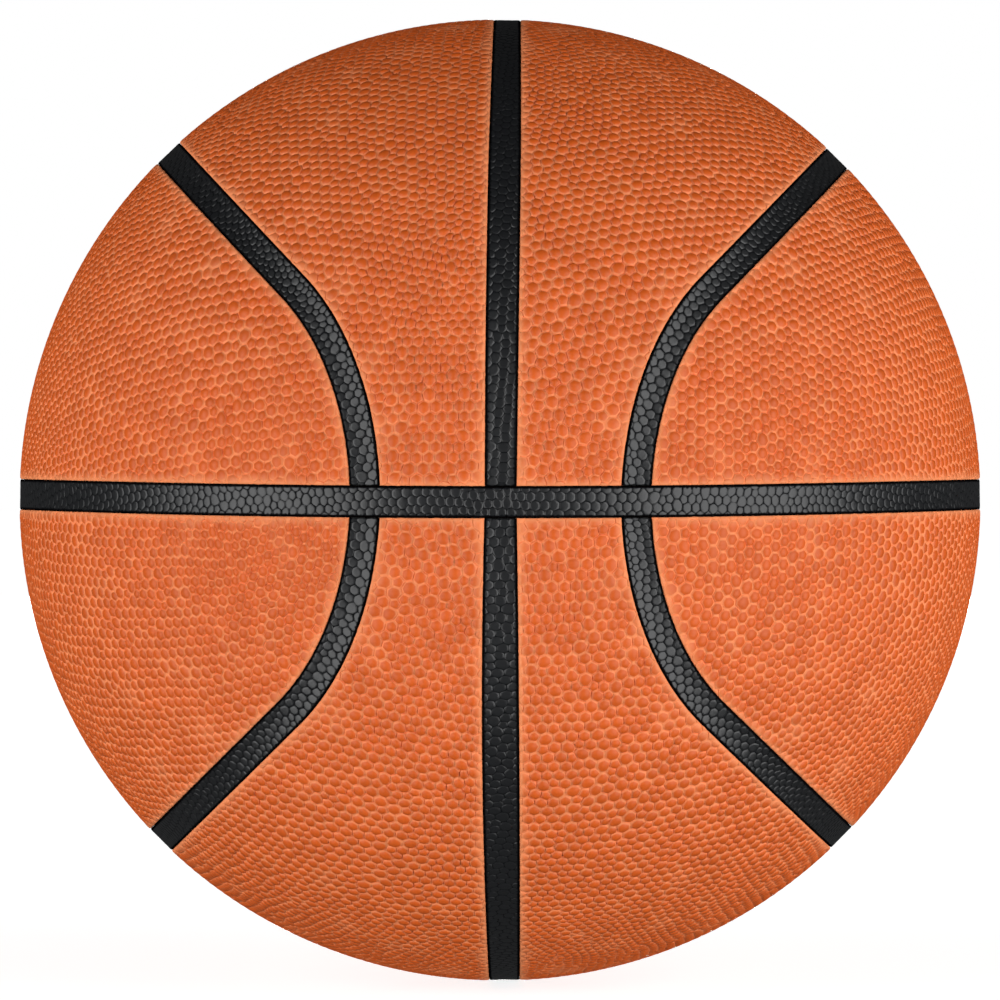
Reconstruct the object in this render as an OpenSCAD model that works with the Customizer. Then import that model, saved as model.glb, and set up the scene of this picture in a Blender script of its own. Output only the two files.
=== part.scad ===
// A size 7 basketball built in layers: bladder, thread winding, ribbed carcass, eight cushioned
// cover panels and the channel strips between them. Lengths are in millimetres and angles in
// degrees. The origin is the ball's centre, +Z is up, and -Y is the side where two channels cross
// in plain view. Every joint between panels is a cone or a sweep about an axis through the centre,
// so all layers stay square to the ball.

/* [Ball] */
// Diameter over the cover panels
ball_d = 242; // [200:1:260]

/* [Cover panels] */
// Thickness of a composite leather panel
cover_t = 1.3; // [1:0.1:1.8]
// Thickness of the sponge behind a panel
sponge_t = 1.4; // [1:0.1:2]

/* [Channels] */
// Width of a channel strip
strip_w = 6.35; // [4.5:0.05:8]
// Thickness of a channel strip
strip_t = 1; // [0.7:0.1:1.4]
// How far a strip lies below the panels' faces
strip_recess = 0.4; // [0.2:0.1:0.8]
// Width of the dark line between a strip and a panel
seam_gap = 0.5; // [0.3:0.05:0.8]
// Gap where a strip butts against the strip round the middle
butt_gap = 0.25; // [0.15:0.05:0.5]
// Angle from the crossing in front to the centre of an oval's rounded end
oval_end_angle = 46; // [42:0.5:52]
// Angle that an oval's long side rises above the middle plane
oval_rise_angle = 45; // [40:0.5:50]
// Step where an oval's rounded end meets its long side
end_step = 0.03; // [0.02:0.01:0.06]
// Angle by which a rounded end runs on under the long side
end_lap_angle = 0.5; // [0.3:0.1:1]

/* [Inner layers] */
// Thickness of the carcass between its ribs
carcass_t = 1; // [0.6:0.1:1.6]
// Thickness of the thread winding
winding_t = 0.5; // [0.3:0.1:1]
// Thickness of the bladder
bladder_t = 0.8; // [0.6:0.1:1.4]
// Cement line between two layers
bond_gap = 0.1; // [0.1:0.05:0.2]

/* [Valve] */
// Diameter of the valve boot's neck
neck_d = 8; // [7:0.5:8.5]
// Clearance round the neck in each layer
neck_clearance = 0.2; // [0.15:0.05:0.4]
// How far the valve's face lies below the panel's face
valve_recess = 0.4; // [0.2:0.1:0.8]
// Diameter of the flange bonded inside the bladder
flange_d = 26; // [20:1:36]
// Thickness of the flange
flange_t = 1.2; // [0.8:0.1:2]
// Diameter of the boot's barrel inside the ball
barrel_d = 10; // [9:0.5:13]
// How far the barrel reaches in below the flange
barrel_l = 12; // [9:1:16]
// Thickness of the lip that holds the insert in the barrel
barrel_lip_t = 1.5; // [1:0.1:2.5]
// Diameter of the air hole in that lip
air_hole_d = 3; // [2.4:0.1:3.6]
// Diameter of the valve insert
insert_d = 5; // [4:0.1:5.6]
// Diameter of the hole that takes the inflating needle
needle_d = 2.1; // [1.8:0.1:2.6]
// Depth of the needle hole down to the closed slit
needle_depth = 7; // [4:0.5:10]
// Angle from the crossing behind to the valve
valve_angle = 35; // [30:1:50]
// Angle that the valve lies round from the strip over the top
valve_turn = 22.5; // [18:0.5:27]

/* [Hidden] */
$fn = 96;
// One overrun for every cut that has to pass a face
overrun = ball_d;

// Radii of the layers from the outside in
ball_r = ball_d / 2;
cover_ri = ball_r - cover_t;
sponge_ro = cover_ri - bond_gap;
sponge_ri = sponge_ro - sponge_t;
carcass_ro = sponge_ri - bond_gap;
carcass_ri = carcass_ro - carcass_t;
winding_ro = carcass_ri - bond_gap;
winding_ri = winding_ro - winding_t;
bladder_ro = winding_ri - bond_gap;
bladder_ri = bladder_ro - bladder_t;
strip_ro = ball_r - strip_recess;
strip_ri = strip_ro - strip_t;
rib_ro = strip_ri - bond_gap;
flange_ro = bladder_ri - bond_gap;
flange_ri = flange_ro - flange_t;
valve_ro = ball_r - valve_recess;
barrel_end = flange_ri - barrel_l;
insert_end = barrel_end + barrel_lip_t + bond_gap;
rib_foot = carcass_ro - carcass_t / 2;

// Half widths seen from the ball's centre
strip_half = asin(strip_w / 2 / strip_ro);
channel_half = asin((strip_w / 2 + seam_gap) / ball_r);
end_step_half = asin(end_step / ball_r);

// An oval is two straight runs that lie on great circles, joined by two rounded ends that
// touch them
oval_end_half = asin(sin(oval_end_angle) * sin(oval_rise_angle));
oval_tangent = atan(tan(oval_end_angle) * cos(oval_rise_angle));
oval_sweep = acos(tan(oval_end_half) / tan(oval_end_angle));

// A point at a radius and at an angle down from the axis of a sweep
function at_polar(radius, polar) = radius * [sin(polar), cos(polar)];

// The wall of a cut at an angle from the sweep's axis, square to the ball
function wall_points(polar) = [[0, 0], at_polar(overrun, polar)];

module shell(ro, ri) {
    difference() {
        sphere(r = ro);
        sphere(r = ri);
    }
}

// Everything on the +Z side of the channel round the middle
module above_channel() {
    rotate_extrude()
        polygon(concat(
            wall_points(90 - channel_half),
            [[overrun, overrun], [0, overrun]]
        ));
}

// All that lies inside the right oval's upper half, with the wall half an angle inside the
// channel's middle line where way is -1, and outside it where way is 1. Each rounded end is
// swept about its own centre, and laps a little under the straight run.
module inside_oval(half, way) {
    for (turned = [0, 1]) {
        mirror([0, turned, 0])
            rotate([90, 0, oval_end_angle])
                rotate([0, 0, 180 - oval_sweep - end_lap_angle])
                    rotate_extrude(angle = oval_sweep + end_lap_angle)
                        polygon(concat(
                            wall_points(oval_end_half + end_step_half + way * half),
                            [[0, overrun]]
                        ));
    }
    rotate([0, -oval_rise_angle, 0])
        rotate([0, 0, oval_tangent - 90])
            rotate_extrude(angle = 180 - 2 * oval_tangent)
                polygon(concat(
                    wall_points(90 - way * half),
                    [[overrun, -overrun], [0, -overrun]]
                ));
}

// A layer's upper right crown, between the strip over the top and the oval
module crown(ro, ri) {
    intersection() {
        difference() {
            shell(ro, ri);
            inside_oval(channel_half, 1);
        }
        above_channel();
        rotate([0, 90, 0])
            above_channel();
    }
}

// A layer's upper half of the right oval
module side(ro, ri) {
    intersection() {
        intersection() {
            shell(ro, ri);
            inside_oval(channel_half, -1);
        }
        above_channel();
    }
}

// Above the middle strip, clear of it by the butt joint
module above_middle_strip() {
    translate([-overrun, -overrun, strip_w / 2 + butt_gap])
        cube(2 * overrun);
}

// A band's cross-section as wide as a strip, square to the ball
module band_section(ro, ri) {
    polygon([
        at_polar(ri, 90 - strip_half),
        at_polar(ro, 90 - strip_half),
        at_polar(ro, 90 + strip_half),
        at_polar(ri, 90 + strip_half)
    ]);
}

// A band round the middle, unbroken
module middle_band(ro, ri) {
    rotate_extrude()
        band_section(ro, ri);
}

// A band over the top, from the middle band in front to the middle band behind
module top_band(ro, ri) {
    intersection() {
        rotate([0, -90, 0])
            rotate([0, 0, -90])
                rotate_extrude(angle = 180)
                    band_section(ro, ri);
        above_middle_strip();
    }
}

// The upper half of the right oval's band
module oval_band(ro, ri) {
    intersection() {
        difference() {
            intersection() {
                shell(ro, ri);
                inside_oval(strip_half, 1);
            }
            inside_oval(strip_half, -1);
        }
        above_middle_strip();
    }
}

// Turns an upper right piece into one of the four like it
module placed(left, low) {
    mirror([left, 0, 0])
        mirror([0, 0, low])
            children();
}

// The valve's own axis, with the ball's surface towards +Z
module on_valve_axis() {
    rotate([-90, 0, 0])
        rotate([0, 0, valve_turn - 90])
            rotate([0, valve_angle, 0])
                children();
}

// The hole that the valve's neck passes through
module neck_hole() {
    on_valve_axis()
        cylinder(h = overrun, d = neck_d + 2 * neck_clearance);
}

module bladder() {
    color("#2b2a2c")
        difference() {
            shell(bladder_ro, bladder_ri);
            neck_hole();
        }
}

// A neck through every layer, a flange inside the bladder and a barrel that holds the insert
module valve_boot() {
    color("#1d1c1d")
        difference() {
            union() {
                intersection() {
                    shell(flange_ro, flange_ri);
                    on_valve_axis()
                        cylinder(h = overrun, d = flange_d);
                }
                intersection() {
                    sphere(r = valve_ro);
                    on_valve_axis()
                        translate([0, 0, flange_ri - flange_t])
                            cylinder(h = overrun, d = neck_d);
                }
                on_valve_axis()
                    translate([0, 0, barrel_end])
                        cylinder(h = barrel_l + flange_t / 2, d = barrel_d);
            }
            on_valve_axis()
                translate([0, 0, barrel_end + barrel_lip_t])
                    cylinder(h = overrun, d = insert_d + 2 * bond_gap);
            on_valve_axis()
                cylinder(h = overrun, d = air_hole_d);
        }
}

// A plug of soft rubber with a blind hole: the slit under the hole is closed until a needle
// opens it, so it has no width here
module valve_insert() {
    color("#3a3838")
        difference() {
            intersection() {
                sphere(r = valve_ro);
                on_valve_axis()
                    translate([0, 0, insert_end])
                        cylinder(h = overrun, d = insert_d);
            }
            on_valve_axis()
                translate([0, 0, valve_ro - needle_depth])
                    cylinder(h = overrun, d = needle_d);
        }
}

module winding() {
    color("#d9d2bd")
        difference() {
            shell(winding_ro, winding_ri);
            neck_hole();
        }
}

// Moulded rubber with a rib under each strip, and seats for the sponges between the ribs
module carcass() {
    color("#333130")
        difference() {
            union() {
                shell(carcass_ro, carcass_ri);
                middle_band(rib_ro, rib_foot);
                for (low = [0, 1]) {
                    mirror([0, 0, low])
                        top_band(rib_ro, rib_foot);
                    for (left = [0, 1]) {
                        placed(left, low)
                            oval_band(rib_ro, rib_foot);
                    }
                }
            }
            neck_hole();
        }
}

module crown_sponge(left, low) {
    color("#8f8a80")
        placed(left, low)
            crown(sponge_ro, sponge_ri);
}

module side_sponge(left, low) {
    color("#8f8a80")
        placed(left, low)
            side(sponge_ro, sponge_ri);
}

module crown_panel(left, low) {
    color("#da7041")
        placed(left, low)
            crown(ball_r, cover_ri);
}

module side_panel(left, low) {
    color("#da7041")
        placed(left, low)
            side(ball_r, cover_ri);
}

module upper_left_crown_sponge() {
    crown_sponge(1, 0);
}

module upper_right_crown_sponge() {
    difference() {
        crown_sponge(0, 0);
        neck_hole();
    }
}

module lower_left_crown_sponge() {
    crown_sponge(1, 1);
}

module lower_right_crown_sponge() {
    crown_sponge(0, 1);
}

module upper_left_side_sponge() {
    side_sponge(1, 0);
}

module upper_right_side_sponge() {
    side_sponge(0, 0);
}

module lower_left_side_sponge() {
    side_sponge(1, 1);
}

module lower_right_side_sponge() {
    side_sponge(0, 1);
}

module upper_left_crown_panel() {
    crown_panel(1, 0);
}

module upper_right_crown_panel() {
    difference() {
        crown_panel(0, 0);
        neck_hole();
    }
}

module lower_left_crown_panel() {
    crown_panel(1, 1);
}

module lower_right_crown_panel() {
    crown_panel(0, 1);
}

module upper_left_side_panel() {
    side_panel(1, 0);
}

module upper_right_side_panel() {
    side_panel(0, 0);
}

module lower_left_side_panel() {
    side_panel(1, 1);
}

module lower_right_side_panel() {
    side_panel(0, 1);
}

module equator_strip() {
    color("#1b1a1b")
        middle_band(strip_ro, strip_ri);
}

module top_strip() {
    color("#1b1a1b")
        top_band(strip_ro, strip_ri);
}

module bottom_strip() {
    color("#1b1a1b")
        mirror([0, 0, 1])
            top_band(strip_ro, strip_ri);
}

module oval_strip(left, low) {
    color("#1b1a1b")
        placed(left, low)
            oval_band(strip_ro, strip_ri);
}

module upper_left_oval_strip() {
    oval_strip(1, 0);
}

module upper_right_oval_strip() {
    oval_strip(0, 0);
}

module lower_left_oval_strip() {
    oval_strip(1, 1);
}

module lower_right_oval_strip() {
    oval_strip(0, 1);
}

bladder();
valve_boot();
valve_insert();
winding();
carcass();
upper_left_crown_sponge();
upper_right_crown_sponge();
lower_left_crown_sponge();
lower_right_crown_sponge();
upper_left_side_sponge();
upper_right_side_sponge();
lower_left_side_sponge();
lower_right_side_sponge();
upper_left_crown_panel();
upper_right_crown_panel();
lower_left_crown_panel();
lower_right_crown_panel();
upper_left_side_panel();
upper_right_side_panel();
lower_left_side_panel();
lower_right_side_panel();
equator_strip();
top_strip();
bottom_strip();
upper_left_oval_strip();
upper_right_oval_strip();
lower_left_oval_strip();
lower_right_oval_strip();
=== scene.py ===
import math
import random

import bmesh
import bpy
from bpy.props import FloatProperty, FloatVectorProperty, IntProperty, PointerProperty
from mathutils import Matrix, Vector, noise


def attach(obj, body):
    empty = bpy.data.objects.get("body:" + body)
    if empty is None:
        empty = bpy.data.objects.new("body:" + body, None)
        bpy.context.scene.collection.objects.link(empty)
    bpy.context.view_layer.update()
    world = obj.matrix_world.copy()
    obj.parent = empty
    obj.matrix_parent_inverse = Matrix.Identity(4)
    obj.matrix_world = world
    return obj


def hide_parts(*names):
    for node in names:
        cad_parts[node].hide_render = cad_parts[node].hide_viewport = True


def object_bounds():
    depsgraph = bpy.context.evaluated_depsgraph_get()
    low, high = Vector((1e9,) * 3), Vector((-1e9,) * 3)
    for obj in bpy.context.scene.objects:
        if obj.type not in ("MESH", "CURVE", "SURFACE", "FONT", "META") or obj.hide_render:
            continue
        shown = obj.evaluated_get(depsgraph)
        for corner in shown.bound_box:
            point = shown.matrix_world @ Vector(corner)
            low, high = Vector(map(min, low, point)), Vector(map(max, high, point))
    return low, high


bl_info = {
    "name": "Basketball dressing",
    "version": (1, 0, 0),
    "blender": (4, 5, 0),
    "location": "3D View > Sidebar > Basketball",
    "description": "Dresses the packed basketball with pebbled covers, channel strips and finishes",
    "category": "Object",
}

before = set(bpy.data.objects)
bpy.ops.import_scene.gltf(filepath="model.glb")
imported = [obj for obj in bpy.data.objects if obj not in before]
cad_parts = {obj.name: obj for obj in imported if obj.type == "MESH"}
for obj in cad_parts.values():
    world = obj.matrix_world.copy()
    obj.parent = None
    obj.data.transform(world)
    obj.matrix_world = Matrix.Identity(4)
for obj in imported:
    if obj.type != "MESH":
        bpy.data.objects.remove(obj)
CAD_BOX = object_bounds()

BODY = "root"
MM = 0.001
BALL_R = 121 * MM
FRAME_PX = 1000


def linear(code):
    """Linear RGB of an sRGB hex colour."""
    values = [int(code[i:i + 2], 16) / 255 for i in (1, 3, 5)]
    return [v / 12.92 if v <= 0.04045 else ((v + 0.055) / 1.055) ** 2.4 for v in values]


def colour_prop(name, code, description):
    return FloatVectorProperty(
        name=name, description=description, subtype="COLOR", size=3, min=0, max=1,
        default=linear(code),
    )


def length_prop(name, millimetres, description):
    return FloatProperty(
        name=name, description=description, unit="LENGTH", default=millimetres * MM,
    )


def angle_prop(name, degrees, description):
    return FloatProperty(
        name=name, description=description, subtype="ANGLE", default=math.radians(degrees),
    )


def watts_prop(name, watts):
    return FloatProperty(name=name, description="Power in watts", unit="POWER", default=watts)


class BallCover(bpy.types.PropertyGroup):
    """Sizes and colours of the eight cover panels"""
    thickness: length_prop("Thickness", 1.3, "Thickness of a composite leather panel")
    channel: length_prop("Channel width", 7.55, "Width of the channel between two panels")
    end_angle: angle_prop("Oval end", 46, "From the front crossing to the centre of an oval's end")
    rise_angle: angle_prop("Oval rise", 45, "Rise of an oval's long side above the middle")
    rim_run: length_prop("Rim run", 0.8, "How far a panel's rim rolls back from its channel")
    rim_drop: length_prop("Rim drop", 0.2, "How deep the rolled rim goes")
    pebble_height: length_prop("Pebble height", 0.7, "Height of a pebble above its valley")
    calm: length_prop("Calm rim", 3, "How far from a channel the pebbles reach their full height")
    pebble_cuts: IntProperty(
        name="Pebble cuts", default=12, min=4, max=14,
        description="Cuts of the base grid: 12 puts the pebbles 2.8 mm apart",
    )
    pebble_jitter: length_prop("Pebble jitter", 0.22, "How irregularly the pebbles are set")
    top: colour_prop("Pebble top", "#d75c17", "Pigment on the crown of a pebble")
    # The valley colour is paler than the tops: a painted highlight for the light the pebbles'
    # flanks catch, also laid on the rolled rim
    valley: colour_prop("Valley", "#f3915f", "Valley colour, painted light: a highlight on the panels, shade on the strips")
    edge: colour_prop("Cut edge", "#2a1712", "Dark backing seen at a panel's cut edge")


class BallStrips(bpy.types.PropertyGroup):
    """Sizes and colours of the seven channel strips"""
    width: length_prop("Width", 7.35, "Width of a channel strip")
    thickness: length_prop("Thickness", 1.25, "Thickness of a channel strip")
    recess: length_prop("Recess", 0.1, "How far a strip lies below the panels' faces")
    butt_gap: length_prop("Butt gap", 0.25, "Gap where a strip meets the one round the middle")
    hollow: length_prop("Hollow", 0.5, "How far a strip dips along its middle")
    rim_run: length_prop("Rim run", 0.6, "How far a strip's rim rolls back from its edge")
    rim_drop: length_prop("Rim drop", 0.4, "How deep the rolled rim goes")
    pebble_height: length_prop("Pebble height", 0.18, "Height of a pebble above its valley")
    pebble_cuts: IntProperty(
        name="Pebble cuts", default=15, min=4, max=16,
        description="Cuts of the base grid: 15 puts the pebbles 2.2 mm apart",
    )
    pebble_jitter: length_prop("Pebble jitter", 0.16, "How irregularly the pebbles are set")
    top: colour_prop("Pebble top", "#17181a", "Pigment on the crown of a pebble")
    # The valley colour is a little darker than the tops: painted shade in the valleys
    valley: colour_prop("Valley", "#111214", "Valley colour, painted light: a highlight on the panels, shade on the strips")
    # The rim colour is painted shade: the near-black of the crease between strip and panel, laid on
    # the strip's outer rim
    edge: colour_prop("Rim", "#060404", "Rim of a strip, near-black as painted shade of the crease")


class BallValve(bpy.types.PropertyGroup):
    """Place and sizes of the valve"""
    angle: angle_prop("Angle", 35, "From the crossing behind to the valve")
    turn: angle_prop("Turn", 22.5, "How far the valve lies round from the strip over the top")
    neck_d: length_prop("Neck", 8, "Diameter of the valve boot's neck")
    clearance: length_prop("Clearance", 0.2, "Clearance round the neck in a panel")


class BallStage(bpy.types.PropertyGroup):
    """Camera, lamps and backdrop"""
    distance: FloatProperty(
        name="Camera distance", unit="LENGTH", default=12.4 * BALL_R,
        description="From the ball's centre to the camera",
    )
    outline_px: FloatProperty(
        name="Outline radius", default=480.6,
        description="Radius of the ball's outline in the picture, in pixels",
    )
    left_power: watts_prop("Left softbox", 19.4)
    right_power: watts_prop("Right softbox", 24.0)
    back_power: watts_prop("Back softbox", 500)
    fill: FloatProperty(name="Fill", default=0.04, description="Strength of the room's own light")
    below: FloatProperty(
        name="Below", default=0.03, description="How much brighter the room is below the ball",
    )
    backdrop: colour_prop("Backdrop", "#ffffff", "Floor and backdrop")


GROUPS = {
    "ball_cover": BallCover,
    "ball_strips": BallStrips,
    "ball_valve": BallValve,
    "ball_stage": BallStage,
}


# Materials. Their patterns read Object coordinates, with scales from sizes in millimetres.

def add_node(tree, kind, settings=None, links=None):
    """Adds a node with its settings and input values, and links its inputs to outputs. The
    setting called stops holds the places and colours of a ramp."""
    node = tree.nodes.new(kind)
    for name, value in (settings or {}).items():
        if name == "stops":
            for element, (place, colour) in zip(node.color_ramp.elements, value):
                element.position = place
                element.color = colour
        elif isinstance(name, int) or name in node.inputs:
            node.inputs[name].default_value = value
        else:
            setattr(node, name, value)
    for name, source in (links or {}).items():
        tree.links.new(source, node.inputs[name])
    return node


def new_material(name):
    material = bpy.data.materials.new(name)
    material.use_nodes = True
    material.node_tree.nodes.clear()
    return material, material.node_tree


def rgba(colour):
    return (*colour, 1)


def pebbled_leather(name, group, roughness, ior, shine, tone_share):
    """Composite leather: a polyurethane skin moulded on microfibre. Up each pebble the colour runs
    from the valley colour to the top colour, each pebble with its own slight tone, and the tops
    have a satin shine while the valleys stay dull. The step between the two colours is painted
    light: on the orange panels the paler valleys are a painted highlight of the lit flanks, and on
    the black strips the darker valleys are painted shade."""
    material, tree = new_material(name)
    crown = add_node(tree, "ShaderNodeAttribute", {"attribute_name": "crown"}).outputs["Fac"]
    tone = add_node(tree, "ShaderNodeAttribute", {"attribute_name": "tone"}).outputs["Fac"]
    place = add_node(tree, "ShaderNodeTexCoord").outputs["Object"]
    # The colour runs from the valley colour at crown 0.5 to the top colour at 0.86; the valley
    # colour is painted light, a highlight on the panels and shade on the strips
    colour = add_node(
        tree, "ShaderNodeValToRGB",
        {"stops": [(0.5, rgba(group.valley)), (0.86, rgba(group.top))]}, {"Fac": crown},
    ).outputs["Color"]
    # Handling leaves faint clouds about 22 mm across
    cloud = add_node(
        tree, "ShaderNodeTexNoise", {"Scale": 1 / (22 * MM)}, {"Vector": place}
    ).outputs["Fac"]
    for darkest, share in ((1 - tone_share, tone), (0.94, cloud)):
        colour = add_node(
            tree, "ShaderNodeMix",
            {"data_type": "RGBA", "blend_type": "MULTIPLY", 7: rgba([darkest] * 3)},
            {0: share, 6: colour},
        ).outputs[2]
    # A crown below -0.5 takes the edge colour: on a panel the dark cut edge, on a strip's outer rim
    # a near-black painted shade of the crease beside the panel
    edge_and_rim_shade = add_node(
        tree, "ShaderNodeMath", {"operation": "LESS_THAN", 1: -0.5}, {0: crown}
    ).outputs[0]
    colour = add_node(
        tree, "ShaderNodeMix", {"data_type": "RGBA", 7: rgba(group.edge)}, {0: edge_and_rim_shade, 6: colour}
    ).outputs[2]
    # The skin's grain is about 0.1 mm, and is drawn at 0.35 mm so that it shows
    grain = add_node(
        tree, "ShaderNodeTexNoise", {"Scale": 1 / (0.35 * MM), "Detail": 3, "Roughness": 0.6},
        {"Vector": place},
    ).outputs["Fac"]
    normal = add_node(
        tree, "ShaderNodeBump", {"Strength": 1, "Distance": 0.02 * MM}, {"Height": grain}
    ).outputs["Normal"]
    polish = add_node(
        tree, "ShaderNodeMapRange",
        {"From Min": 0.2, "From Max": 0.8, "To Min": 0, "To Max": shine}, {"Value": crown},
    ).outputs[0]
    shader = add_node(
        tree, "ShaderNodeBsdfPrincipled", {"Roughness": roughness, "IOR": ior},
        {"Base Color": colour, "Normal": normal, "Specular IOR Level": polish},
    )
    add_node(tree, "ShaderNodeOutputMaterial", links={"Surface": shader.outputs[0]})
    return material


def moulded_rubber(name, code, roughness, grain_mm, depth_mm):
    """Moulded rubber: to the eye dull and nearly black, with the fine grain of its mould and a
    faint bloom in patches about 9 mm across."""
    material, tree = new_material(name)
    colour = linear(code)
    bloom = [min(1, c * 1.5 + 0.01) for c in colour]
    place = add_node(tree, "ShaderNodeTexCoord").outputs["Object"]
    patches = add_node(
        tree, "ShaderNodeTexNoise", {"Scale": 1 / (9 * MM), "Detail": 3}, {"Vector": place}
    ).outputs["Fac"]
    shade = add_node(
        tree, "ShaderNodeMix", {"data_type": "RGBA", 6: rgba(colour), 7: rgba(bloom)},
        {0: patches},
    ).outputs[2]
    grain = add_node(
        tree, "ShaderNodeTexNoise", {"Scale": 1 / (grain_mm * MM)}, {"Vector": place}
    ).outputs["Fac"]
    normal = add_node(
        tree, "ShaderNodeBump", {"Strength": 1, "Distance": depth_mm * MM}, {"Height": grain}
    ).outputs["Normal"]
    shader = add_node(
        tree, "ShaderNodeBsdfPrincipled", {"Roughness": roughness, "IOR": 1.52},
        {"Base Color": shade, "Normal": normal},
    )
    add_node(tree, "ShaderNodeOutputMaterial", links={"Surface": shader.outputs[0]})
    return material


def foamed_sponge():
    """Foamed sponge rubber: to the eye matt and greyish, with open pores about 0.6 mm across. The
    pores are painted darker than their walls: painted shade in the hollows."""
    material, tree = new_material("foamed_sponge_rubber")
    place = add_node(tree, "ShaderNodeTexCoord").outputs["Object"]
    pores = add_node(
        tree, "ShaderNodeTexVoronoi", {"Scale": 1 / (0.6 * MM)}, {"Vector": place}
    ).outputs["Distance"]
    # Darker towards a pore's middle: painted shade in the hollow
    shade = add_node(
        tree, "ShaderNodeValToRGB",
        {"stops": [(0, rgba(linear("#55514a"))), (0.5, rgba(linear("#8f8a80")))]},
        {"Fac": pores},
    ).outputs["Color"]
    normal = add_node(
        tree, "ShaderNodeBump", {"Strength": 1, "Distance": 0.1 * MM}, {"Height": pores}
    ).outputs["Normal"]
    shader = add_node(
        tree, "ShaderNodeBsdfPrincipled", {"Roughness": 0.9},
        {"Base Color": shade, "Normal": normal},
    )
    add_node(tree, "ShaderNodeOutputMaterial", links={"Surface": shader.outputs[0]})
    return material


def wound_thread():
    """Nylon thread wound round the bladder and set in cement: to the eye pale rounds of thread
    with darker cement between. A thread is 0.3 mm, and a bundle of them is drawn so it shows."""
    material, tree = new_material("wound_nylon_thread")
    place = add_node(tree, "ShaderNodeTexCoord").outputs["Object"]
    rounds = add_node(
        tree, "ShaderNodeTexWave",
        {"wave_type": "RINGS", "Scale": 1 / (4 * MM), "Distortion": 3}, {"Vector": place},
    ).outputs["Fac"]
    shade = add_node(
        tree, "ShaderNodeValToRGB",
        {"stops": [(0, rgba(linear("#a89f88"))), (1, rgba(linear("#d9d2bd")))]},
        {"Fac": rounds},
    ).outputs["Color"]
    normal = add_node(
        tree, "ShaderNodeBump", {"Strength": 1, "Distance": 0.1 * MM}, {"Height": rounds}
    ).outputs["Normal"]
    shader = add_node(
        tree, "ShaderNodeBsdfPrincipled", {"Roughness": 0.6},
        {"Base Color": shade, "Normal": normal},
    )
    add_node(tree, "ShaderNodeOutputMaterial", links={"Surface": shader.outputs[0]})
    return material


def painted_floor(stage):
    """A floor painted matt white: the camera sees it white but for a soft shadow round the ball's
    foot. To the ball it is clear, and the room's own light stands in for what it throws back."""
    material, tree = new_material("painted_floor")
    place = add_node(tree, "ShaderNodeTexCoord").outputs["Object"]
    away = add_node(
        tree, "ShaderNodeVectorMath", {"operation": "LENGTH"}, {0: place}
    ).outputs["Value"]
    glow = add_node(
        tree, "ShaderNodeMapRange",
        {"From Min": 0.15, "From Max": 0.6, "To Min": 0.86, "To Max": 1}, {"Value": away},
    ).outputs[0]
    own = add_node(
        tree, "ShaderNodeEmission", {"Color": rgba(stage.backdrop)}, {"Strength": glow}
    )
    lit = add_node(
        tree, "ShaderNodeBsdfDiffuse", {"Color": rgba([0.4 * c for c in stage.backdrop])}
    )
    white = add_node(
        tree, "ShaderNodeAddShader", links={0: own.outputs[0], 1: lit.outputs[0]}
    )
    clear = add_node(tree, "ShaderNodeBsdfTransparent")
    seen = add_node(tree, "ShaderNodeLightPath").outputs["Is Camera Ray"]
    both = add_node(
        tree, "ShaderNodeMixShader", links={0: seen, 1: clear.outputs[0], 2: white.outputs[0]}
    )
    add_node(tree, "ShaderNodeOutputMaterial", links={"Surface": both.outputs[0]})
    return material


# Meshes. Every piece is shaped on a ball of radius 1 in the upper right quarter, and placed last.
# Its vertices carry two layers: crown is a vertex's share of its pebble's height and picks the
# colour,
# -1 on walls and on a strip's outer rim, whose edge colour there is painted shade of the crease;
# tone is the pebble's own tone.

# Rings round a pebble, as shares of the cell's width and of the pebble's height
PANEL_RINGS = [(0.9, 0.38), (0.7, 0.93)]
STRIP_RINGS = [(0.88, 0.76), (0.56, 0.95)]
# How far the rings turn from the cell's corners to a circle
PANEL_ROUNDNESS = 0.18
STRIP_ROUNDNESS = 0.35
# Corners of cells nearer than this to a cut move onto it
SNAP = 0.2 * MM / BALL_R
QUARTERS = {
    "upper_left": (-1, 1), "upper_right": (1, 1), "lower_left": (-1, -1), "lower_right": (1, -1),
}


class Oval:
    """The right oval's middle line above the middle: two long runs on great circles, joined by
    rounded ends that touch them."""

    def __init__(self, end_angle, rise_angle):
        self.ends = [
            Vector((math.sin(end_angle), side * math.cos(end_angle), 0)) for side in (-1, 1)
        ]
        self.pole = Vector((-math.sin(rise_angle), 0, math.cos(rise_angle)))
        self.end_half = math.asin(math.sin(end_angle) * math.sin(rise_angle))
        self.joints = []
        for side, end in zip((-1, 1), self.ends):
            joint = end.cross(self.pole).normalized()
            self.joints.append(joint * math.copysign(1, joint.y * side))

    def run(self, point):
        """0 or 1 beside a rounded end, 2 beside the long run."""
        for number, joint in enumerate(self.joints):
            if point.dot(joint) > 0:
                return number
        return 2

    def outside(self, point):
        """Angle outside the middle line, negative inside it."""
        number = self.run(point)
        if number < 2:
            return point.angle(self.ends[number]) - self.end_half
        return math.asin(max(-1, min(1, point.dot(self.pole))))

    def plane(self, number, outside, keep_inside):
        """The plane of the outline at that angle outside the middle line, as the normal on the
        side that goes and its distance from the centre."""
        if number < 2:
            normal, offset = -self.ends[number], -math.cos(self.end_half + outside)
        else:
            normal, offset = self.pole, math.sin(outside)
        return (normal, offset) if keep_inside else (-normal, -offset)


def angle_of(length, radius):
    return math.asin(length / radius)


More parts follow.
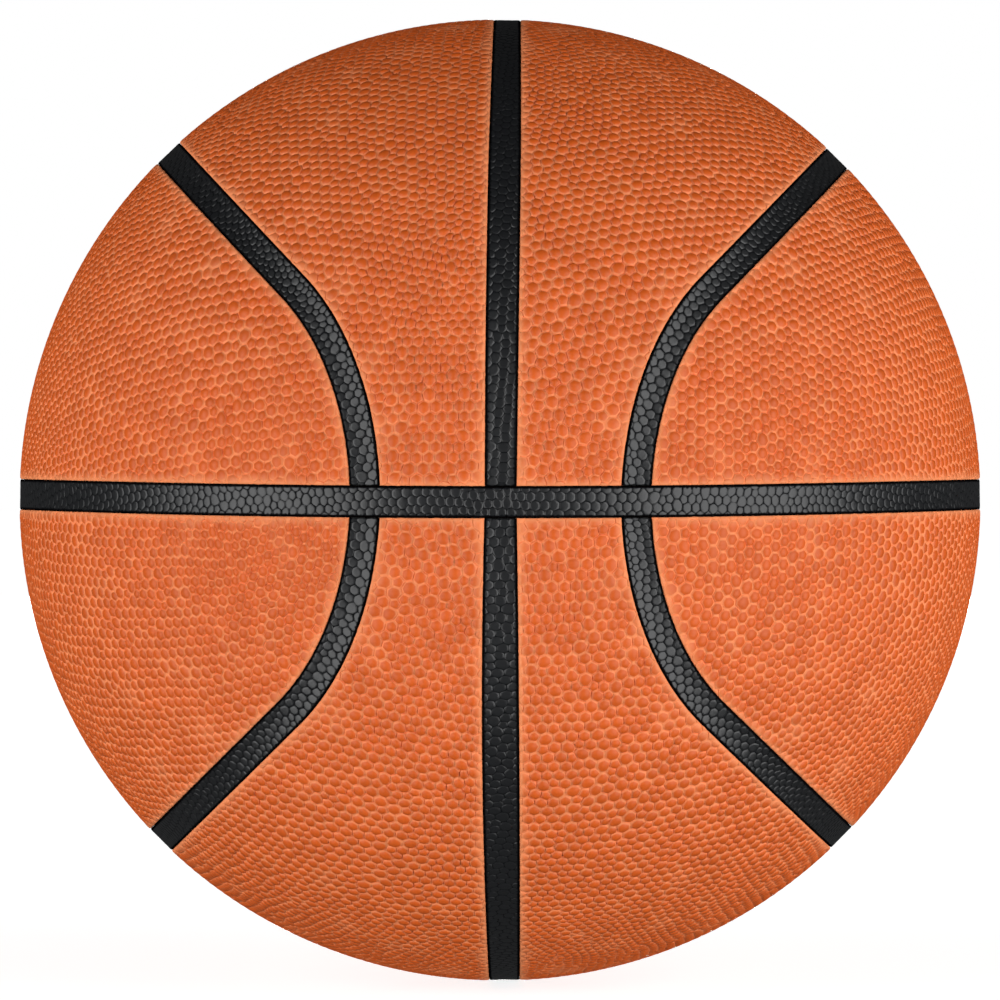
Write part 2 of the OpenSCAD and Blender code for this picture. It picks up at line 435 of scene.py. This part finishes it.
def pebble_cells(cuts, jitter, seed):
    """A ball of radius 1 covered with cells of five to seven sides, one for each pebble."""
    chance = random.Random(seed)

    def scatter():
        return Vector([chance.gauss(0, 1) for _ in range(3)])

    bm = bmesh.new()
    bmesh.ops.create_icosphere(bm, subdivisions=3, radius=1)
    bmesh.ops.subdivide_edges(bm, edges=bm.edges[:], cuts=cuts, use_grid_fill=True)
    turn = Matrix.Rotation(chance.uniform(0, math.tau), 3, scatter().normalized())
    # Some edges turn, which takes a side from two cells and gives one to two others
    free = set(bm.verts)
    turned = []
    for edge in chance.sample(bm.edges[:], len(bm.edges) // 18):
        around = {vert for face in edge.link_faces for vert in face.verts}
        if around <= free:
            free -= around
            turned.append(edge)
    bmesh.ops.rotate_edges(bm, edges=turned, use_ccw=False)
    centres, spans = bm.verts[:], bm.edges[:]
    for _ in range(3):
        bmesh.ops.smooth_vert(
            bm, verts=centres, factor=0.5, use_axis_x=True, use_axis_y=True, use_axis_z=True,
        )
    for vert in centres:
        vert.co = (turn @ vert.co.normalized() + scatter() * jitter).normalized()
    # Each triangle gets a middle point, its edges turn to join those, and the old corners go
    bmesh.ops.poke(bm, faces=bm.faces[:])
    bmesh.ops.rotate_edges(bm, edges=spans, use_ccw=False)
    bmesh.ops.dissolve_verts(bm, verts=centres)
    for vert in bm.verts:
        vert.co.normalize()
    return bm


def middle_of(face):
    return face.calc_center_median().normalized()


def in_order(items):
    """The items once each, in their own order. A set's order is another one at each run."""
    return dict.fromkeys(items)


def keep_near(bm, test):
    far = [face for face in bm.faces if not test(middle_of(face))]
    bmesh.ops.delete(bm, geom=far, context="FACES")


def cut(bm, faces, plane, drop=True):
    """Cuts the faces along a plane and drops what lies beyond it. Corners that are nearly on the
    plane slide along the ball onto it first, so that no sliver is left."""
    normal, offset = plane
    verts = list(in_order(vert for face in faces for vert in face.verts))
    edges = list(in_order(edge for face in faces for edge in face.edges))
    for vert in verts:
        along = normal - vert.co * vert.co.dot(normal)
        beyond = (vert.co.dot(normal) - offset) / max(along.length, 1e-9)
        if abs(beyond) < SNAP:
            vert.co -= along.normalized() * beyond
    bmesh.ops.bisect_plane(
        bm, geom=faces + edges + verts, dist=1e-5, plane_co=normal * offset, plane_no=normal,
        clear_outer=drop,
    )


def cut_to_oval(bm, oval, outside, keep_inside):
    """Cuts the cells along the oval's outline at that angle outside its middle line."""
    runs = [[], [], []]
    for face in bm.faces:
        runs[oval.run(middle_of(face))].append(face)
    for number, faces in enumerate(runs):
        cut(bm, faces, oval.plane(number, outside, keep_inside), drop=False)
    side = 1 if keep_inside else -1
    keep_near(bm, lambda point: side * (oval.outside(point) - outside) < 0)


def give_wall(bm, inner):
    """Turns a skin into a closed shell whose inner face lies at that radius, and returns the
    faces of the skin. The inner face is thinned out to few faces."""
    skin = bm.faces[:]
    made = bmesh.ops.extrude_face_region(bm, geom=skin, use_keep_orig=True)["geom"]
    back = in_order(item for item in made if isinstance(item, bmesh.types.BMFace))
    back_verts = in_order(vert for face in back for vert in face.verts)
    for vert in back_verts:
        vert.co = vert.co.normalized() * inner
    bmesh.ops.recalc_face_normals(bm, faces=bm.faces[:])
    if skin[0].normal.dot(skin[0].calc_center_median()) < 0:
        bmesh.ops.reverse_faces(bm, faces=bm.faces[:])
    free = [vert for vert in back_verts if all(face in back for face in vert.link_faces)]
    spans = list(in_order(edge for vert in free for edge in vert.link_edges))
    bmesh.ops.dissolve_limit(
        bm, angle_limit=math.radians(4), use_dissolve_boundaries=False, verts=free, edges=spans,
    )
    return skin, back_verts


def raise_pebbles(bm, cells, rings, roundness, chance):
    """Gives every cell its pebble: rings that close in on the crown, and a crown point."""
    crown = bm.verts.layers.float["crown"]
    tone = bm.verts.layers.float["tone"]
    area = sorted(face.calc_area() for face in cells)[len(cells) // 2]
    # A cell that the channel cuts small gets a low pebble
    low = {face: min(1, math.sqrt(face.calc_area() / area / 0.6)) for face in cells}
    tones = {face: chance.random() for face in cells}
    # Halfway along a side the valley is often shallow, and a rim is even
    for vert in in_order(vert for face in cells for vert in face.verts):
        sides = sum(face in low for face in vert.link_faces)
        if sides < len(vert.link_faces):
            vert[crown] = 0.3
        else:
            vert[crown] = chance.uniform(0, 0.6 if sides == 2 else 0.15)
    last = 1.0
    for scale, height in rings:
        bmesh.ops.inset_individual(bm, faces=cells, thickness=0, depth=0)
        for face in cells:
            middle = face.calc_center_median()
            reach = [(vert.co - middle).length for vert in face.verts]
            mean = sum(reach) / len(reach)
            for vert, length in zip(face.verts, reach):
                even = 1 + roundness * (mean / max(length, 1e-9) - 1)
                vert.co = middle + (vert.co - middle) * even * scale / last
                vert[crown] = height * low[face]
                vert[tone] = tones[face]
        last = scale
    centres = bmesh.ops.poke(bm, faces=cells)["verts"]
    for vert in centres:
        around = [edge.other_vert(vert) for edge in vert.link_edges]
        vert[crown] = 1.1 * max(other[crown] for other in around)
        vert[tone] = around[0][tone]


def roll(distance, run, drop):
    """How deep a rim lies at a distance from its edge: a quarter of an ellipse."""
    if distance >= run:
        return 0.0
    share = 1 - max(distance, 0) / run
    return drop * (1 - math.sqrt(max(0.0, 1 - share * share)))


def wander(point):
    """Moves a point along the ball's face as hand-laid channels wander from true lines: by up to
    2 mm in front and not at all behind. The shifts are shares of the radius. The upright channel
    is wider below the crossing than above it, and narrows at the very top."""
    side = point.normalized()
    x, y, z = side
    across = 0.0012 + 0.0058 * z + 0.0111 * z ** 2 - 0.003 * z ** 3 - 0.0141 * x - 0.0168 * x * z
    widening = (0.007 if z > 0 else 0.022) * abs(z) * (1 - abs(z)) - 0.01 * max(0, z - 0.7)
    across += widening * 0.06 * x / (0.0009 + x * x)
    rise = -0.0041 + 0.016 * x ** 2 - 0.0017 * z - 0.003 * x * z
    shift = Vector((across, 0, rise)) * min(1, max(0, 1 - 2 * y))
    shift -= side * side.dot(shift)
    return (side + shift).normalized() * point.length


def finish_shell(bm, outer, thickness, rings, roundness, seed, shape, placed):
    """Makes a closed pebbled shell of the cells and moves it to its quarter. The shape gives the
    radius of a vertex and what the layer crown keeps of it."""
    inner = outer - thickness
    bmesh.ops.subdivide_edges(bm, edges=bm.edges[:], cuts=1)
    bm.verts.layers.float.new("crown")
    bm.verts.layers.float.new("tone")
    cells, back_verts = give_wall(bm, inner / outer)
    raise_pebbles(bm, cells, rings, roundness, random.Random(seed))
    crown = bm.verts.layers.float["crown"]
    for vert in bm.verts:
        direction = vert.co.normalized()
        if vert in back_verts:
            radius, vert[crown] = inner, -1
        else:
            radius, vert[crown] = shape(direction, vert[crown])
        vert.co = direction * radius
    side, level = placed
    bmesh.ops.scale(bm, vec=(side, 1, level), verts=bm.verts[:])
    for vert in bm.verts:
        vert.co = wander(vert.co)
    if side * level < 0:
        bmesh.ops.reverse_faces(bm, faces=bm.faces[:])


def make_piece(name, bm, node, material):
    """Makes the mesh a piece that stands for its CAD node."""
    mesh = bpy.data.meshes.new(name)
    for face in bm.faces:
        face.smooth = True
    bm.to_mesh(mesh)
    bm.free()
    mesh.set_sharp_from_angle(angle=math.radians(65))
    mesh.materials.append(material)
    piece = bpy.data.objects.new(name, mesh)
    bpy.context.scene.collection.objects.link(piece)
    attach(piece, BODY)
    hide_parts(node)


class BALL_OT_cover_panels(bpy.types.Operator):
    """Make the eight pebbled cover panels"""
    bl_idname = "ball.cover_panels"
    bl_label = "Cover panels"

    def execute(self, context):
        cover = context.scene.ball_cover
        valve = context.scene.ball_valve
        leather = pebbled_leather("moulded_composite_leather", cover, 0.5, 1.58, 0.3, 0.14)
        half = angle_of(cover.channel / 2, BALL_R)
        edge = math.sin(half)
        oval = Oval(cover.end_angle, cover.rise_angle)
        valve_axis = Vector((
            math.sin(valve.angle) * math.sin(valve.turn),
            math.cos(valve.angle),
            math.sin(valve.angle) * math.cos(valve.turn),
        ))

        def wanted(point):
            out = oval.outside(point)
            if inside:
                return point.z > -0.02 and out < 0.02
            return point.z > -0.02 and point.x > -0.02 and out > -0.02

        def shape(direction, crown):
            from_rim = BALL_R * min(
                direction.z - edge,
                abs(oval.outside(direction)) - half,
                direction.x - edge if not inside else 1,
            )
            rim = roll(from_rim, cover.rim_run, cover.rim_drop)
            # The pebbles are low beside a channel, and here and there in the open face
            strong = 0.62 + 0.38 * min(1, max(0, from_rim) / cover.calm)
            uneven = 1 + 0.3 * noise.noise(direction * 14)
            radius = BALL_R - (1 - min(crown, 1)) * strong * uneven * cover.pebble_height - rim
            faded = min(1, 0.2 + 0.8 * uneven)
            # The crown falls with the pebbles and to 0 on the rolled rim, so these places take more
            # of the pale valley colour, a painted highlight; the rim gets a painted highlight along
            # the panel's edge
            return radius, crown * strong * faded * (1 - rim / cover.rim_drop)

        for kind, seeds in (("crown", (2, 4, 6, 8)), ("side", (1, 3, 5, 7))):
            inside = kind == "side"
            for seed, (quarter, placed) in zip(seeds, QUARTERS.items()):
                bm = pebble_cells(cover.pebble_cuts, cover.pebble_jitter / BALL_R, seed)
                keep_near(bm, wanted)
                cut(bm, bm.faces[:], (Vector((0, 0, -1)), -edge))
                if not inside:
                    cut(bm, bm.faces[:], (Vector((-1, 0, 0)), -edge))
                cut_to_oval(bm, oval, -half if inside else half, inside)
                if kind == "crown" and quarter == "upper_right":
                    hole = angle_of(valve.neck_d / 2 + valve.clearance, BALL_R)
                    cut(bm, bm.faces[:], (valve_axis, math.cos(hole)))
                finish_shell(
                    bm, BALL_R, cover.thickness, PANEL_RINGS, PANEL_ROUNDNESS, seed, shape, placed
                )
                make_piece(
                    f"{quarter}_{kind}_cover", bm, f"{quarter}_{kind}_panel",
                    leather,
                )
        return {"FINISHED"}


class BALL_OT_channel_strips(bpy.types.Operator):
    """Make the seven pebbled channel strips"""
    bl_idname = "ball.channel_strips"
    bl_label = "Channel strips"

    def execute(self, context):
        cover = context.scene.ball_cover
        strips = context.scene.ball_strips
        leather = pebbled_leather("moulded_black_composite", strips, 0.36, 1.54, 0.5, 0.1)
        face = BALL_R - strips.recess
        half = angle_of(strips.width / 2, face)
        edge = math.sin(half)
        oval = Oval(cover.end_angle, cover.rise_angle)
        butt = (strips.width / 2 + strips.butt_gap) / face

        def across_middle(point):
            return math.asin(max(-1, min(1, point.z)))

        def across_top(point):
            return math.asin(max(-1, min(1, point.x)))

        def wanted(point):
            return abs(across(point)) < 2 * half and (foot is None or point.z > 0)

        def shape(direction, crown):
            share = min(1, abs(across(direction)) / half)
            rim = roll((1 - share) * strips.width / 2, strips.rim_run, strips.rim_drop)
            # Drawn flat, flush with the panels, halfway round between front and back
            flat = min(1, 2 * abs(direction.y))
            dip = strips.hollow * (1 - share * share) * flat
            rim *= 0.25 + 0.75 * flat
            radius = face - dip - rim - (1 - min(crown, 1)) * strips.pebble_height
            # Near the edge the crown goes to -1, so the strip's outer rim takes the edge colour:
            # painted shade of the crease beside the panel
            crease_shade = min(1, max(0, 2 - (1 - share) * strips.width / strips.rim_run))
            return radius, crown * (1 - crease_shade) - crease_shade

        jobs = [
            ("equator_strip", across_middle, None, (1, 1)),
            ("top_strip", across_top, butt, (1, 1)),
            ("bottom_strip", across_top, butt, (1, -1)),
        ]
        for quarter, placed in QUARTERS.items():
            jobs.append((f"{quarter}_oval_strip", oval.outside, butt, placed))
        for seed, (node, across, foot, placed) in enumerate(jobs, 101):
            bm = pebble_cells(strips.pebble_cuts, strips.pebble_jitter / BALL_R, seed)
            keep_near(bm, wanted)
            if across == oval.outside:
                cut_to_oval(bm, oval, half, True)
                cut_to_oval(bm, oval, -half, False)
            else:
                axis = Vector((0, 0, 1)) if across is across_middle else Vector((1, 0, 0))
                cut(bm, bm.faces[:], (axis, edge))
                cut(bm, bm.faces[:], (-axis, edge))
            if foot:
                cut(bm, bm.faces[:], (Vector((0, 0, -1)), -foot))
            finish_shell(
                bm, face, strips.thickness, STRIP_RINGS, STRIP_ROUNDNESS, seed, shape, placed
            )
            make_piece(node + "_cover", bm, node, leather)
        return {"FINISHED"}


class BALL_OT_inner_layers(bpy.types.Operator):
    """Give the layers under the cover their finishes"""
    bl_idname = "ball.inner_layers"
    bl_label = "Inner layers"

    def execute(self, context):
        sponge = foamed_sponge()
        finishes = {
            "bladder": moulded_rubber("moulded_butyl_rubber", "#2b2a2c", 0.5, 1.5, 0.05),
            "carcass": moulded_rubber("moulded_carcass_rubber", "#151413", 0.75, 0.8, 0.05),
            "valve_boot": moulded_rubber("moulded_valve_rubber", "#1d1c1d", 0.5, 0.4, 0.02),
            "valve_insert": moulded_rubber("moulded_soft_rubber", "#2c2a2a", 0.45, 0.3, 0.01),
            "winding": wound_thread(),
        }
        for name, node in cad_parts.items():
            if name.endswith("_sponge"):
                node.material_slots[0].material = sponge
            elif name in finishes:
                node.material_slots[0].material = finishes[name]
        return {"FINISHED"}


class BALL_OT_stage(bpy.types.Operator):
    """Set up the camera, the softboxes and the backdrop"""
    bl_idname = "ball.stage"
    bl_label = "Stage"

    def execute(self, context):
        stage = context.scene.ball_stage
        scene = context.scene
        self.add_camera(scene, stage)
        self.add_softboxes(scene, stage)
        self.add_room(scene, stage)
        self.add_floor(scene, stage)
        scene.view_settings.view_transform = "Standard"
        return {"FINISHED"}

    def add_camera(self, scene, stage):
        """Looks along +Y at the crossing of two channels, with the ball filling the frame."""
        camera_data = bpy.data.cameras.new("camera")
        camera = bpy.data.objects.new("camera", camera_data)
        scene.collection.objects.link(camera)
        camera.location = (0, -stage.distance, 0)
        camera.rotation_euler = (math.pi / 2, 0, 0)
        radii = stage.distance / BALL_R
        focal_px = stage.outline_px * math.sqrt(radii * radii - 1)
        camera_data.sensor_width = 36
        camera_data.lens = focal_px / FRAME_PX * camera_data.sensor_width
        camera_data.clip_start = 0.01
        scene.camera = camera

    def add_softboxes(self, scene, stage):
        """Two tall softboxes in front. The one behind stands far off, so that it lights the back
        and not the outline."""
        for name, degrees, power, width, away in (
            ("left", -53, stage.left_power, 1.0, 1.2),
            ("right", 53, stage.right_power, 1.27, 1.2),
            ("back", 180, stage.back_power, 1.0, 6.0),
        ):
            lamp_data = bpy.data.lights.new(f"softbox_{name}", "AREA")
            lamp_data.shape = "RECTANGLE"
            lamp_data.size = width
            lamp_data.size_y = 2
            lamp_data.energy = power
            lamp = bpy.data.objects.new(f"softbox_{name}", lamp_data)
            scene.collection.objects.link(lamp)
            around = math.radians(degrees)
            lamp.location = (away * math.sin(around), -away * math.cos(around), -0.06)
            lamp.rotation_euler = (-lamp.location).to_track_quat("-Z", "Y").to_euler()

    def add_room(self, scene, stage):
        """White to the camera. To the ball the room is dim, and a little brighter below it."""
        world = bpy.data.worlds.new("studio")
        scene.world = world
        world.use_nodes = True
        tree = world.node_tree
        tree.nodes.clear()
        path = add_node(tree, "ShaderNodeLightPath")
        seen = add_node(
            tree, "ShaderNodeMath", {"operation": "MAXIMUM"},
            {0: path.outputs["Is Camera Ray"], 1: path.outputs["Is Transmission Ray"]},
        ).outputs[0]
        lean = add_node(
            tree, "ShaderNodeVectorMath",
            {"operation": "DOT_PRODUCT", 1: (0, 0, -stage.below)},
            {0: add_node(tree, "ShaderNodeTexCoord").outputs["Generated"]},
        ).outputs["Value"]
        strength = add_node(
            tree, "ShaderNodeMath", {"operation": "ADD", 1: stage.fill}, {0: lean}
        ).outputs[0]
        room = add_node(
            tree, "ShaderNodeBackground", {"Color": rgba(stage.backdrop)}, {"Strength": strength}
        )
        white = add_node(
            tree, "ShaderNodeBackground", {"Color": rgba(stage.backdrop), "Strength": 1}
        )
        mixed = add_node(
            tree, "ShaderNodeMixShader", links={0: seen, 1: room.outputs[0], 2: white.outputs[0]}
        )
        add_node(tree, "ShaderNodeOutputWorld", links={"Surface": mixed.outputs[0]})

    def add_floor(self, scene, stage):
        bm = bmesh.new()
        bmesh.ops.create_grid(bm, x_segments=1, y_segments=1, size=60)
        bmesh.ops.translate(bm, vec=(0, 0, CAD_BOX[0][2] - 0.1 * MM), verts=bm.verts[:])
        mesh = bpy.data.meshes.new("floor")
        bm.to_mesh(mesh)
        bm.free()
        mesh.materials.append(painted_floor(stage))
        floor = bpy.data.objects.new("floor", mesh)
        scene.collection.objects.link(floor)


class BALL_PT_sidebar(bpy.types.Panel):
    """Lists the ball's sizes and the steps that make it"""
    bl_label = "Basketball"
    bl_idname = "BALL_PT_sidebar"
    bl_space_type = "VIEW_3D"
    bl_region_type = "UI"
    bl_category = "Basketball"

    def draw(self, context):
        for step in STEPS:
            self.layout.operator(step.bl_idname)
        for group in GROUPS:
            box = self.layout.box()
            owner = getattr(context.scene, group)
            for name in owner.__annotations__:
                box.prop(owner, name)


STEPS = (
    BALL_OT_stage, BALL_OT_cover_panels, BALL_OT_channel_strips, BALL_OT_inner_layers,
)
CLASSES = (*GROUPS.values(), *STEPS, BALL_PT_sidebar)


def register():
    for item in CLASSES:
        bpy.utils.register_class(item)
    for name, group in GROUPS.items():
        setattr(bpy.types.Scene, name, PointerProperty(type=group))


def unregister():
    for name in GROUPS:
        delattr(bpy.types.Scene, name)
    for item in reversed(CLASSES):
        bpy.utils.unregister_class(item)


def main():
    register()
    bpy.ops.ball.stage()
    bpy.ops.ball.cover_panels()
    bpy.ops.ball.channel_strips()
    bpy.ops.ball.inner_layers()


if __name__ == "__main__":
    main()
